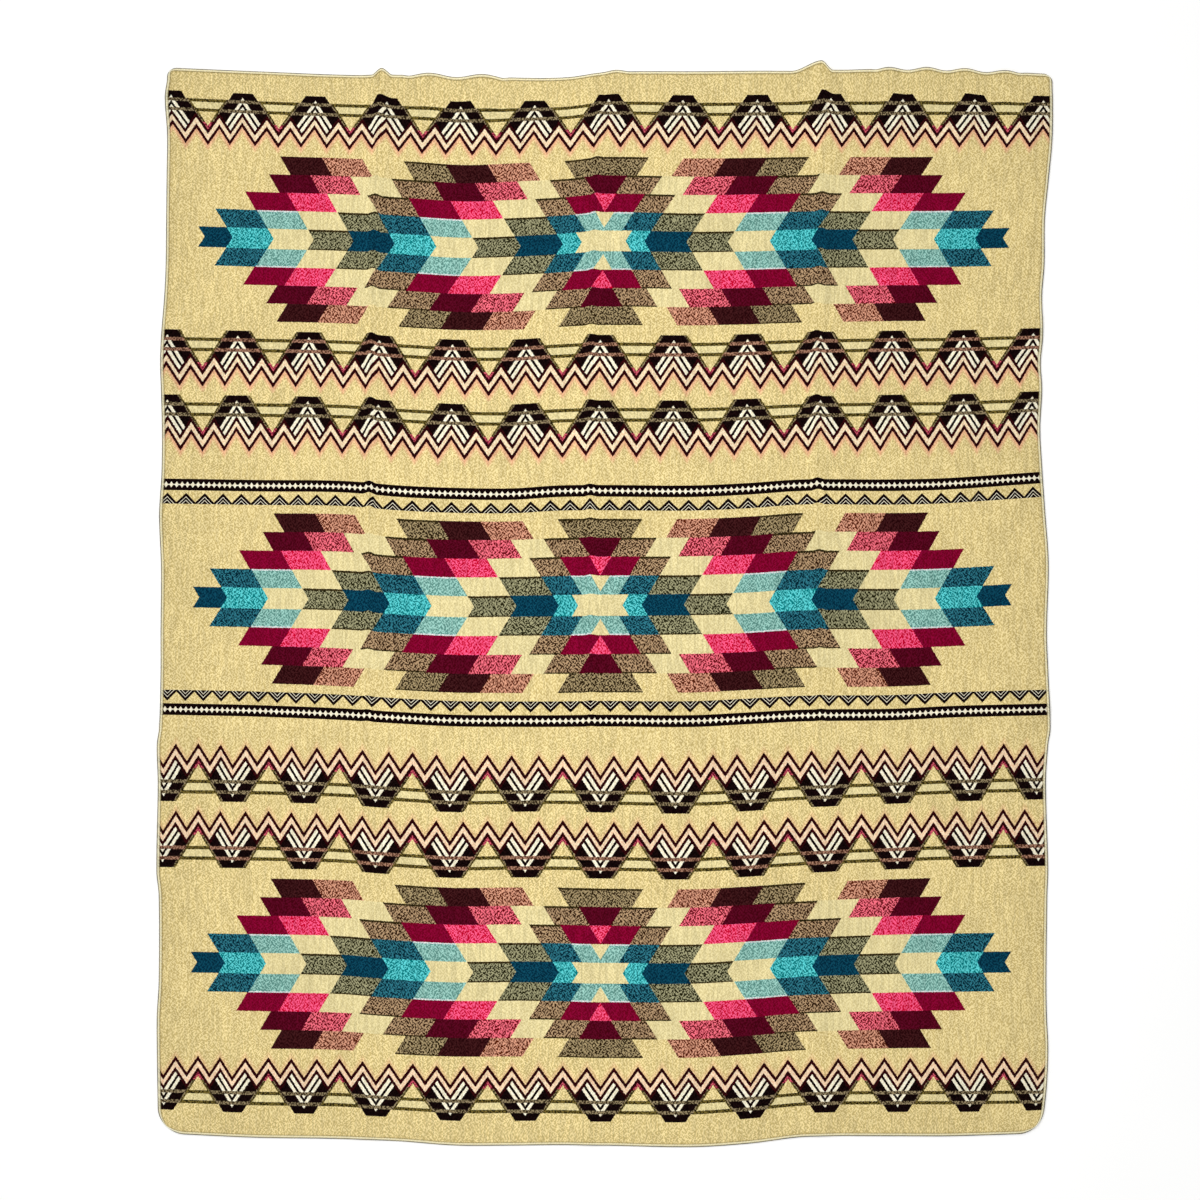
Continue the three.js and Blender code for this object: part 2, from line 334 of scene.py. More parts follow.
# Overlock sewing: thread stations from the needle line over the edge to the underside
STITCH_PITCH = 3.2
LOOP_THREAD = 0.85
LOOP_STATIONS = (
    dict(slide=-1.0, inset=4.6, height=3.6),
    dict(slide=-0.6, inset=3.2, height=4.3),
    dict(slide=0.0, inset=1.7, height=4.1),
    dict(slide=0.6, inset=0.9, height=2.8),
    dict(slide=1.0, inset=1.0, height=1.2),
)
SEAM_THREAD = 0.55
SEAM_STATIONS = (
    dict(slide=-1.5, inset=5.2, height=3.1),
    dict(slide=0.0, inset=5.2, height=3.9),
    dict(slide=1.5, inset=5.2, height=3.1),
)
# A looper thread round the outermost edge; its dark colour is painted shadow along the cloth's edge
EDGE_THREAD = 0.9
EDGE_STATIONS = (
    dict(slide=-1.7, inset=-0.2, height=1.8),
    dict(slide=0.0, inset=-0.5, height=2.2),
    dict(slide=1.7, inset=-0.2, height=1.8),
)
THREAD_SIDES = 4
THREAD_TIP = 0.5
PALE_THREAD = dict(deep=(248, 240, 200), bright=(255, 252, 228), scale=420)
TAN_THREAD = dict(deep=(128, 108, 56), bright=(182, 160, 96), scale=420)
# The edge thread's colours: a real looper thread, made dark as painted shadow along the cloth's outer edge
EDGE_SHADOW_THREAD = dict(deep=(36, 28, 16), bright=(124, 108, 70), scale=30)
THREAD_GRAIN = (0.35, 0.65)
THREAD_BUMP = dict(strength=0.4, distance=0.0003)

# The cloth under the sewing: a pale stitched rim, and painted shade along the groove that the seam pulls
# into it
STITCHED_WIDTH = 4.2
STITCHED_SHARE = 0.6
STITCHED_COLOUR = (250, 242, 204)
SEAM_GROOVE_SHADE = dict(inset=5.6, core=0.5, reach=2.5, tone=0.8)

# Studio
FLOOR_SIDE = 16
FLOOR_GAP = 0.0004
FLOOR_GLOW = 0.15
FLOOR_GRAIN = 3.0
FLOOR_COLOURS = ((0.96, 0.96, 0.955, 1), (0.98, 0.98, 0.975, 1))
ROOM_LIGHT = 0.4
KEY_LIGHT = dict(place=(-1.5, 2, 4), strength=1.5, spread=50)
STRIP_LIGHT = dict(place=(-0.2, 0.3, 1.4), strength=10, width=0.5, length=3.6)
PICTURE_SPAN = 2.576
PICTURE_MIDDLE = (-0.0100, 0.0086)
LENS = 85
SENSOR = 36


# Laying the cloth

def fade(distance):
    """1 at zero, falling smoothly to 0 at one and beyond, the same on both sides."""
    share = np.clip(np.abs(distance), 0, 1)
    return 1 - share * share * (3 - 2 * share)


def climb(value, start, end):
    """0 up to start, rising smoothly to 1 at end."""
    share = np.clip((value - start) / (end - start), 0, 1)
    return share * share * (3 - 2 * share)


def smooth_curve(places, values, at):
    """Values known at a few places, joined by a smooth curve and read at many places."""
    places = np.asarray(places, float)
    last = len(places) - 1
    rows = np.arange(last + 1)
    after = np.minimum(rows + 1, last)
    before = np.maximum(rows - 1, 0)
    slopes = (values[after] - values[before]) / (places[after] - places[before])[:, None]
    held = np.clip(at, places[0], places[-1])
    high = np.clip(np.searchsorted(places, held), 1, last)
    low = high - 1
    point = np.arange(len(held)) if values.shape[1] > 1 else 0
    span = places[high] - places[low]
    share = (held - places[low]) / span
    rest = 1 - share
    low_part = values[low, point] * (1 + 2 * share) + slopes[low, point] * span * share
    high_part = values[high, point] * (1 + 2 * rest) - slopes[high, point] * span * rest
    return low_part * rest ** 2 + high_part * share ** 2


def read_table(table, key, column, at):
    """One column of a table, read as a smooth curve over its key."""
    values = np.array([[row[column]] for row in table], float)
    return smooth_curve([row[key] for row in table], values, at)


def weft_shift(across, along):
    lines = [read_table(WEFT_LINES, "across", line, across) for line in WEFT_PLACES]
    return smooth_curve(list(WEFT_PLACES.values()), np.array(lines), along)


def warp_shift(across, along):
    lines = [read_table(WARP_LINES, "along", line, along) for line in WARP_PLACES]
    left = read_table(SIDE_EDGES, "along", "left", along)
    right = read_table(SIDE_EDGES, "along", "right", along)
    places = [-HALF_WIDTH, *WARP_PLACES.values(), HALF_WIDTH]
    return smooth_curve(places, np.array([left, *lines, right]), across)


def round_corner(across, along):
    """Carries the square grid's corner onto a quarter circle."""
    radius = np.where(along > 0, HEAD_CORNER_RADIUS, FOOT_CORNER_RADIUS)
    past_x = np.maximum((np.abs(across) - HALF_WIDTH + radius) / radius, 0)
    past_y = np.maximum((np.abs(along) - HALF_LENGTH + radius) / radius, 0)
    pulled_x = past_x * (1 - np.sqrt(1 - past_y ** 2 / 2))
    pulled_y = past_y * (1 - np.sqrt(1 - past_x ** 2 / 2))
    return across - np.sign(across) * radius * pulled_x, along - np.sign(along) * radius * pulled_y


def cross_ridge(ridge, across, along):
    crest = fade((along - ridge["along"] - ridge["tilt"] * (across - ridge["start"])) / ridge["reach"])
    begins = climb(across, ridge["start"], ridge["start"] + RIDGE_END_FADE)
    ends = 1 - climb(across, ridge["end"] - RIDGE_END_FADE, ridge["end"])
    return crest * begins * ends * ridge["rise"]


def swell(across, along):
    """The soft unevenness of cloth that isn't pressed."""
    places = zip(across / SWELL_ACROSS, along / SWELL_ALONG)
    waves = np.array([noise.noise(Vector((x, y, 0))) for x, y in places])
    return SWELL_RISE * (waves + 1) / 2


def lay(flat_across, flat_along):
    """Where points of the flat cloth lie once it is spread out, and how high its underside is."""
    across, along = round_corner(flat_across, flat_along)
    x = across + warp_shift(across, along)
    y = along + weft_shift(across, along)
    rise = np.zeros_like(along)
    for ripple in HEM_RIPPLES:
        begins = climb(across, ripple["start"], ripple["start"] + RIPPLE_END_FADE)
        ends = 1 - climb(across, ripple["end"] - RIPPLE_END_FADE, ripple["end"])
        strength = begins * ends * fade((HALF_LENGTH - along) / RIPPLE_REACH)
        wave = np.cos(2 * math.pi * (across - ripple["start"]) / ripple["pitch"])
        y = y - strength * ripple["shift"] * wave
        rise = rise + strength * ripple["rise"] * (1 - wave) / 2
    head_share = (along + HALF_LENGTH) / CLOTH_LENGTH
    kicked = fade((HALF_LENGTH - along) / KICK_REACH)
    kinked = climb(along, KINK_START, KINK_FULL) * (1 - kicked)
    for ridge in LENGTH_RIDGES:
        aside = across - ridge["across"]
        height = ridge["foot_rise"] + (ridge["head_rise"] - ridge["foot_rise"]) * head_share
        rise = np.maximum(rise, fade(aside / ridge["reach"]) * height)
        rise = rise - fade(aside / CREASE_REACH) * head_share * CREASE_DROP
        y = y + fade(aside / KINK_REACH) * kinked * ridge["kink"]
    for kick in HEM_KICKS:
        aside = across - kick["across"]
        reach = np.where(aside < 0, kick["left"], kick["right"])
        y = y + fade(aside / reach) * kicked * kick["shift"]
    for ridge in CROSS_RIDGES:
        rise = np.maximum(rise, cross_ridge(ridge, across, along))
    return x, y, np.maximum(rise, 0) + swell(across, along)


def edge_walk(pitch):
    """Flat places along the cloth's edge, with the direction along it and the direction inward."""
    sides = (
        dict(start=(-HALF_WIDTH, -HALF_LENGTH), end=(HALF_WIDTH, -HALF_LENGTH)),
        dict(start=(HALF_WIDTH, -HALF_LENGTH), end=(HALF_WIDTH, HALF_LENGTH)),
        dict(start=(HALF_WIDTH, HALF_LENGTH), end=(-HALF_WIDTH, HALF_LENGTH)),
        dict(start=(-HALF_WIDTH, HALF_LENGTH), end=(-HALF_WIDTH, -HALF_LENGTH)),
    )
    places, forward = [], []
    for side in sides:
        start, end = np.array(side["start"]), np.array(side["end"])
        length = np.linalg.norm(end - start)
        count = round(length / pitch)
        shares = (np.arange(count) + 0.5) / count
        places.append(start + shares[:, None] * (end - start))
        forward.append(np.tile((end - start) / length, (count, 1)))
    forward = np.concatenate(forward)
    inward = np.stack([-forward[:, 1], forward[:, 0]], axis=1)
    return np.concatenate(places), forward, inward


def middle_shift():
    """What carries the laid cloth's middle onto the middle of its solid."""
    places = edge_walk(WIDEST_CELL)[0]
    x, y, _ = lay(places[:, 0], places[:, 1])
    low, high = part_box("woven_panel")
    middle = (low + high) / 2
    return middle.x / MM - (x.min() + x.max()) / 2, middle.y / MM - (y.min() + y.max()) / 2


SHIFT_X, SHIFT_Y = middle_shift()


def spread(across, along, height):
    """Points in metres for places on the flat cloth, at a height over its underside."""
    x, y, rise = lay(across, along)
    return np.stack([x + SHIFT_X, y + SHIFT_Y, rise + height], axis=1) * MM


# Pieces

def add_piece(name, mesh, material):
    mesh.materials.append(material)
    mesh.shade_smooth()
    piece = bpy.data.objects.new(name, mesh)
    bpy.context.scene.collection.objects.link(piece)
    return piece


def stations(half, folds):
    """Grid lines over one direction: close together in the rim and on folds, even between."""
    insets = np.array([row["inset"] for row in RIM_PROFILE], float)
    inner = half - insets[-1]
    even = np.linspace(-inner, inner, math.ceil(2 * inner / WIDEST_CELL) + 1)
    middles = (even[:-1] + even[1:]) / 2
    lines = [insets[:-1] - half, even, half - insets[:-1]]
    for fold in folds:
        near = middles[np.abs(middles - fold) < FINE_REACH]
        lines += [near - FINE_CELL / 2, near + FINE_CELL / 2]
    return np.sort(np.concatenate(lines))


def add_map(mesh, name, points):
    corners = np.empty(len(mesh.loops), np.int32)
    mesh.loops.foreach_get("vertex_index", corners)
    layer = mesh.uv_layers.new(name=name)
    layer.uv.foreach_set("vector", points[corners].astype(np.float32).ravel())


def make_panel(material):
    """The cloth: a fine grid given a face and an underside, then laid on its folds."""
    columns = stations(HALF_WIDTH, [ridge["across"] for ridge in LENGTH_RIDGES])
    rows = stations(HALF_LENGTH, [])
    grid = bmesh.new()
    bmesh.ops.create_grid(grid, x_segments=len(columns) - 1, y_segments=len(rows) - 1, size=1)
    bmesh.ops.solidify(grid, geom=grid.faces[:], thickness=1)
    bmesh.ops.recalc_face_normals(grid, faces=grid.faces[:])
    mesh = bpy.data.meshes.new("woven_panel_sheet")
    grid.to_mesh(mesh)
    grid.free()
    points = np.empty(len(mesh.vertices) * 3)
    mesh.vertices.foreach_get("co", points)
    points = points.reshape(-1, 3)
    across = columns[np.rint((points[:, 0] + 1) / 2 * (len(columns) - 1)).astype(int)]
    along = rows[np.rint((points[:, 1] + 1) / 2 * (len(rows) - 1)).astype(int)]
    on_face = points[:, 2] > points[:, 2].mean()
    inset = np.minimum(HALF_WIDTH - np.abs(across), HALF_LENGTH - np.abs(along))
    face = read_table(RIM_PROFILE, "inset", "face", inset)
    underside = read_table(RIM_PROFILE, "inset", "underside", inset)
    laid = spread(across, along, np.where(on_face, face, underside))
    mesh.vertices.foreach_set("co", laid.ravel())
    flat = np.stack([across, along], axis=1)
    # The underside's edge takes its yarn from just inside, so that the rim's faces have width
    on_outline = inset < 1
    flat[~on_face & on_outline] *= 1 - RIM_PULL / HALF_WIDTH
    add_map(mesh, "weave", flat)
    add_map(mesh, "OFBake", flat / (CLOTH_WIDTH, CLOTH_LENGTH) * BAKE_SHARE + 0.5)
    mesh.update()
    return add_piece("cloth_sheet", mesh, material)


def make_thread(name, stitch, radius, material):
    """One length of thread for each stitch along the edge, as small square tubes."""
    places, forward, inward = edge_walk(STITCH_PITCH)
    rings = []
    lines = []
    for station in stitch:
        flat = places + forward * station["slide"] + inward * station["inset"]
        reach = np.array([HALF_WIDTH, HALF_LENGTH]) - station["inset"]
        flat = np.clip(flat, -reach, reach)
        lines.append(spread(flat[:, 0], flat[:, 1], station["height"]))
    lines = np.stack(lines, axis=1)
    tangents = np.gradient(lines, axis=1)
    tangents /= np.linalg.norm(tangents, axis=2, keepdims=True)
    upright = np.cross(tangents, np.array([0.0, 0.0, 1.0]) + inward_lift(inward))
    upright /= np.linalg.norm(upright, axis=2, keepdims=True)
    across = np.cross(tangents, upright)
    for side in range(THREAD_SIDES):
        angle = 2 * math.pi * (side + 0.5) / THREAD_SIDES
        rings.append(lines + radius * MM * (math.cos(angle) * upright + math.sin(angle) * across))
    points = np.stack(rings, axis=2).reshape(-1, 3)
    faces = tube_faces(len(places), len(stitch))
    mesh = bpy.data.meshes.new(name)
    mesh.from_pydata(points.tolist(), [], faces.tolist())
    tidy = bmesh.new()
    tidy.from_mesh(mesh)
    bmesh.ops.recalc_face_normals(tidy, faces=tidy.faces[:])
    tidy.to_mesh(mesh)
    tidy.free()
    return add_piece(name, mesh, material)


def inward_lift(inward):
    """Tips the upright inward, so that thread running straight down still has a side."""
    lift = np.concatenate([inward, np.zeros((len(inward), 1))], axis=1)
    return lift[:, None, :] * THREAD_TIP


def tube_faces(tubes, stations_each):
    """Faces of many closed tubes whose points come station by station."""
    faces = []
    for station in range(stations_each - 1):
        for side in range(THREAD_SIDES):
            turn = (side + 1) % THREAD_SIDES
            low, high = station * THREAD_SIDES, (station + 1) * THREAD_SIDES
            faces.append((low + side, low + turn, high + turn, high + side))
    last = (stations_each - 1) * THREAD_SIDES
    faces.append(tuple(range(THREAD_SIDES)))
    faces.append(tuple(last + side for side in range(THREAD_SIDES)))
    starts = np.arange(tubes) * stations_each * THREAD_SIDES
    return (np.array(faces)[None, :, :] + starts[:, None, None]).reshape(-1, THREAD_SIDES)


# Materials

def linear(colour):
    """A colour out of 255, as a screen shows it, in the shader's linear values."""
    shares = [part / 255 for part in colour]
    parts = [share / 12.92 if share < 0.04045 else ((share + 0.055) / 1.055) ** 2.4 for share in shares]
    return (*parts, 1)


class Chart:
    """A material's node tree, with a call for each kind of step that the weave needs."""

    def __init__(self, material):
        material.use_nodes = True
        self.tree = material.node_tree
        self.shader = self.tree.nodes["Principled BSDF"]

    def add(self, kind, **settings):
        node = self.tree.nodes.new(kind)
        for setting, value in settings.items():
            setattr(node, setting, value)
        return node

    def feed(self, socket, value):
        if isinstance(value, bpy.types.NodeSocket):
            self.tree.links.new(value, socket)
        else:
            socket.default_value = value

    def maths(self, operation, *values):
        node = self.add("ShaderNodeMath", operation=operation)
        for socket, value in zip(node.inputs, values):
            self.feed(socket, value)
        return node.outputs[0]

    def plus(self, value, other):
        return self.maths("ADD", value, other)

    def less(self, value, other):
        return self.maths("SUBTRACT", value, other)

    def times(self, value, factor):
        return self.maths("MULTIPLY", value, factor)

    def size(self, value):
        return self.maths("ABSOLUTE", value)

    def above(self, value, limit):
        return self.maths("GREATER_THAN", value, limit)

    def repeat(self, value, pitch):
        """Distance from the nearest whole number of pitches."""
        return self.maths("PINGPONG", value, pitch / 2)

    def choose(self, test, yes, no):
        """yes where the test is 1, and no where it is 0."""
        node = self.add("ShaderNodeMix", data_type="FLOAT")
        for place, value in ((0, test), (2, no), (3, yes)):
            self.feed(node.inputs[place], value)
        return node.outputs[0]

    def ramp_between(self, value, low, high, start=0.0, end=1.0):
        node = self.add("ShaderNodeMapRange", clamp=True)
        for place, number in enumerate((value, low, high, start, end)):
            self.feed(node.inputs[place], number)
        return node.outputs[0]

    def blend(self, share, first, second, kind="MIX"):
        node = self.add("ShaderNodeMix", data_type="RGBA", blend_type=kind)
        for place, value in ((0, share), (6, first), (7, second)):
            self.feed(node.inputs[place], value)
        return node.outputs[2]

    def join(self, x, y):
        node = self.add("ShaderNodeCombineXYZ")
        self.feed(node.inputs[0], x)
        self.feed(node.inputs[1], y)
        return node.outputs[0]

    def grain(self, place):
        node = self.add("ShaderNodeTexNoise", noise_dimensions="2D")
        self.feed(node.inputs["Vector"], place)
        self.feed(node.inputs["Scale"], 1.0)
        return node.outputs[0]

    def object_grain(self, scale):
        node = self.add("ShaderNodeTexNoise")
        self.feed(node.inputs["Vector"], self.add("ShaderNodeTexCoord").outputs["Object"])
        self.feed(node.inputs["Scale"], scale)
        return node.outputs[0]

    def raise_surface(self, height, strength, distance):
        node = self.add("ShaderNodeBump")
        self.feed(node.inputs["Strength"], strength)
        self.feed(node.inputs["Distance"], distance)
        self.feed(node.inputs["Height"], height)
        self.feed(self.shader.inputs["Normal"], node.outputs[0])

    def scatter(self, place):
        """A number between 0 and 1 for each whole-numbered place, with no order to it."""
        node = self.add("ShaderNodeTexWhiteNoise", noise_dimensions="2D")
        self.feed(node.inputs["Vector"], place)
        return node.outputs["Value"]

    def steps(self, value, edges, yarns):
        """The yarn of each stretch of a value, parted at the edges."""
        found = yarn_slot(yarns[0])
        for edge, yarn in zip(edges, yarns[1:]):
            found = self.choose(self.above(value, edge), yarn_slot(yarn), found)
        return found


def yarn_slot(yarn):
    return float(list(YARNS).index(yarn))


def medallion(chart, across, along):
    """Yarns of the three stepped medallions."""
    from_middle = chart.repeat(along, MEDALLION_SPACING)
    found = None
    inner = 0
    for number, row in enumerate(MEDALLION_ROWS):
        outer = MIDDLE_ROW_HALF + number * ROW_HEIGHT
        lean = chart.times(chart.less(outer, from_middle), BLOCK_LEAN)
        from_point = chart.less(chart.less(row["point"], across), lean)
        edges = np.concatenate([[0], np.cumsum(row["widths"]) * BLOCK_WIDTH]).tolist()
        yarns = chart.steps(from_point, edges, ("tan", *row["yarns"]))
        found = yarns if found is None else chart.choose(chart.above(from_middle, inner), yarns, found)
        inner = outer
    return chart.choose(chart.above(from_middle, inner), yarn_slot("tan"), found)


def float_lines(chart, along, slot):
    """Adds the floats along the outer side of each row: dark on heather blocks, pale on pale blue."""
    from_middle = chart.repeat(along, MEDALLION_SPACING)
    last_edge = MIDDLE_ROW_HALF + len(MEDALLION_ROWS) * ROW_HEIGHT
    to_edge = chart.maths("MODULO", chart.less(last_edge, from_middle), ROW_HEIGHT)
    to_head = chart.above(chart.maths("WRAP", along, MEDALLION_SPACING / 2, -MEDALLION_SPACING / 2), 0)
    dark_width = chart.choose(to_head, FLOAT_WIDTHS["dark_head"], FLOAT_WIDTHS["dark_foot"])
    heather = chart.maths("COMPARE", slot, yarn_slot(HEATHER_MIDDLE), HEATHER_SLOTS)
    blue = chart.maths("COMPARE", slot, yarn_slot("pale_blue"), 0.5)
    dark_line = chart.times(chart.above(dark_width, to_edge), heather)
    pale_line = chart.times(chart.above(FLOAT_WIDTHS["pale"], to_edge), blue)
    slot = chart.choose(dark_line, yarn_slot("bark"), slot)
    return chart.choose(pale_line, yarn_slot("foam"), slot)


def mountain_band(chart, across, along, toward_foot):
    """Yarns of the mountain bands, and the pink that bleeds from their zigzags into the tan."""
    bases = MOUNTAIN_BASES
    past_inner = chart.above(along, (bases["inner"] + BAND_TOP + bases["outer"] + BAND_BOTTOM) / 2)
    past_outer = chart.above(along, MEDALLION_SPACING)
    base = chart.choose(past_inner, bases["outer"], bases["inner"])
    base = chart.choose(past_outer, bases["hem"], base)
    height = chart.less(along, base)
    height = chart.times(height, chart.choose(past_outer, 1 / HEM_BAND_SHARE, 1.0))
    aside = chart.repeat(across, MOUNTAIN_PITCH)
    arm = chart.less(ARM["top"], chart.times(aside, ARM["slope"]))
    from_tooth = chart.size(chart.less(aside, TOOTH["place"]))
    tooth = chart.less(TOOTH["top"], chart.times(from_tooth, TOOTH["slope"]))
    zigzag = chart.maths("MAXIMUM", arm, tooth)
    over_zigzag = chart.less(height, zigzag)
    lower_arm = chart.less(arm, LOWER_ZIGZAG["arm_drop"])
    lower_tooth = chart.less(tooth, LOWER_ZIGZAG["tooth_drop"])
    over_lower = chart.less(height, chart.maths("MAXIMUM", lower_arm, lower_tooth))
    flank = chart.less(chart.less(FLANK["foot"], chart.times(height, 1 / FLANK["slope"])), aside)
    in_mountain = chart.above(flank, 0)

    bare_cap = chart.times(past_outer, chart.above(height, CROSS_LINES[1]["high"]))
    pale_yarn = chart.choose(chart.above(VALLEY_TOP, height), yarn_slot("berry"), yarn_slot("stone"))
    pale_yarn = chart.choose(bare_cap, yarn_slot("tan"), pale_yarn)
    dark_yarn = chart.choose(chart.above(VALLEY_TOP, height), yarn_slot("berry"), yarn_slot("moss"))
    dark_yarn = chart.choose(bare_cap, yarn_slot("tan"), dark_yarn)
    mountain = chart.steps(chart.less(height, arm), NEST_EDGES, NEST_YARNS)
    mountain = chart.choose(chart.above(flank, FLANK["pale"]), mountain, pale_yarn)
    between_lines = chart.above(height, CROSS_LINES[0]["high"])
    between_lines = chart.times(between_lines, chart.above(CROSS_LINES[1]["low"], height))
    gap = chart.choose(between_lines, yarn_slot("ivory"), yarn_slot("tan"))
    gap = chart.choose(chart.above(flank, -FLANK["dark"]), dark_yarn, gap)
    found = chart.choose(in_mountain, mountain, gap)

    line_yarn = chart.choose(past_inner, yarn_slot("clay"), yarn_slot("stone"))
    line_yarn = chart.choose(past_outer, yarn_slot("stone"), line_yarn)
    line_yarn = chart.choose(in_mountain, line_yarn, yarn_slot("moss"))
    for line in CROSS_LINES:
        on_line = chart.times(chart.above(height, line["low"]), chart.above(line["high"], height))
        found = chart.choose(on_line, line_yarn, found)

    found = chart.choose(chart.above(over_zigzag, ZIGZAG_HALF), found, yarn_slot("oxblood"))
    found = chart.choose(chart.above(over_zigzag, -ZIGZAG_HALF), found, yarn_slot("blush"))
    found = chart.choose(chart.above(over_lower, LOWER_ZIGZAG["half"]), found, yarn_slot("oxblood"))
    found = chart.choose(chart.above(over_lower, -LOWER_ZIGZAG["half"]), found, yarn_slot("tan"))
    found = chart.choose(chart.above(height, BAND_TOP), yarn_slot("tan"), found)
    below_lower = chart.less(-LOWER_ZIGZAG["half"], over_lower)
    strength = chart.choose(toward_foot, HAZE_STRENGTH["foot"], HAZE_STRENGTH["head"])
    bleed = chart.times(chart.ramp_between(below_lower, 0, HAZE_REACH, 1, 0), strength)
    bleed = chart.times(bleed, chart.above(below_lower, 0))
    between = chart.above(over_lower, LOWER_ZIGZAG["half"])
    between = chart.times(between, chart.above(-ZIGZAG_HALF, over_zigzag))
    between = chart.times(between, chart.times(toward_foot, HAZE_STRENGTH["between_at_foot"]))
    return found, chart.plus(bleed, between)


def diamond_chain(chart, across, along):
    """Yarns of the dark band with its chain of pale diamonds."""
    from_middle = chart.size(chart.less(along, CHAIN["middle"]))
    aside = chart.repeat(across, CHAIN["pitch"])
    slope = chart.less(CHAIN["diamond_half"], chart.times(aside, CHAIN["slope"]))
    diamond = chart.maths("MAXIMUM", slope, CHAIN["waist"])
    found = chart.choose(chart.above(diamond, from_middle), yarn_slot("chalk"), yarn_slot("soot"))
    return chart.choose(chart.above(from_middle, CHAIN["half"]), yarn_slot("tan"), found)


def triangle_row(chart, across, along):
    """Yarns of the nested triangles."""
    height = chart.less(along, TRIANGLES["base"])
    aside = chart.less(TRIANGLES["pitch"] / 2, chart.repeat(across, TRIANGLES["pitch"]))
    nested = chart.plus(height, chart.times(aside, TRIANGLES["slope"]))
    found = chart.steps(nested, TRIANGLE_EDGES, TRIANGLE_YARNS)
    return chart.choose(chart.above(height, 0), found, yarn_slot("tan"))


def palette(chart, slot, shade):
    """The colour of a yarn's darker or lighter strands, looked up by its slot."""
    node = chart.add("ShaderNodeValToRGB")
    node.color_ramp.interpolation = "CONSTANT"
    stops = node.color_ramp.elements
    while len(stops) < len(YARNS):
        stops.new(1)
    for number, strands in enumerate(YARNS.values()):
        stops[number].position = number / YARN_SLOTS
        stops[number].color = linear(strands[shade])
    chart.feed(node.inputs[0], chart.times(chart.plus(slot, 0.5), 1 / YARN_SLOTS))
    return node.outputs[0]


def strand_turns(chart, column, row):
    """A number for each strand, with strands near each other taking turns at dark and light."""
    found = chart.plus(chart.scatter(chart.join(column, row)), TURN_SHARE * len(TURN_STEPS) / 2)
    for step_across, step_along in TURN_STEPS:
        beside = chart.join(chart.plus(column, step_across), chart.plus(row, step_along))
        found = chart.less(found, chart.times(chart.scatter(beside), TURN_SHARE))
    return found


def crease_shade(chart, across, along, ridge):
    """The thin, patchy shade of a lengthwise crease, strongest toward the head."""
    stray = chart.grain(chart.join(chart.times(along, CREASE_WANDER_SCALE), ridge["across"]))
    aside = chart.less(across, ridge["across"])
    aside = chart.less(aside, chart.times(chart.less(stray, 0.5), CREASE_WANDER))
    line = chart.ramp_between(chart.size(aside), CREASE_LINE["core"], CREASE_LINE["reach"], 1, 0)
    patch_place = chart.join(chart.times(along, CREASE_PATCH_SCALE), ridge["across"] + CREASE_PATCH_OFFSET)
    patches = chart.ramp_between(chart.grain(patch_place), *CREASE_PATCH_RANGE, CREASE_SHADE["faint"], 1)
    shade = chart.ramp_between(along, -HALF_LENGTH, HALF_LENGTH, CREASE_SHADE["foot"], CREASE_SHADE["head"])
    return chart.less(1.0, chart.times(line, chart.times(patches, shade)))


def off_axis(chart, across):
    """Distance from the chart's axis."""
    return chart.size(chart.less(across, CHART_AXIS))


def drawn_in(chart, across):
    """Distance from the axis in the bands, which the selvage draws in."""
    past_selvage = chart.maths("MAXIMUM", chart.less(across, SELVAGE_START), 0.0)
    return chart.plus(across, chart.times(past_selvage, SELVAGE_TIGHTENING))


def wander(chart, same, other, scales):
    """A place in one direction, with strands straying a little from straight."""
    place = chart.join(chart.times(same, scales["same"]), chart.times(other, scales["other"]))
    return chart.plus(same, chart.times(chart.less(chart.grain(place), 0.5), WANDER))


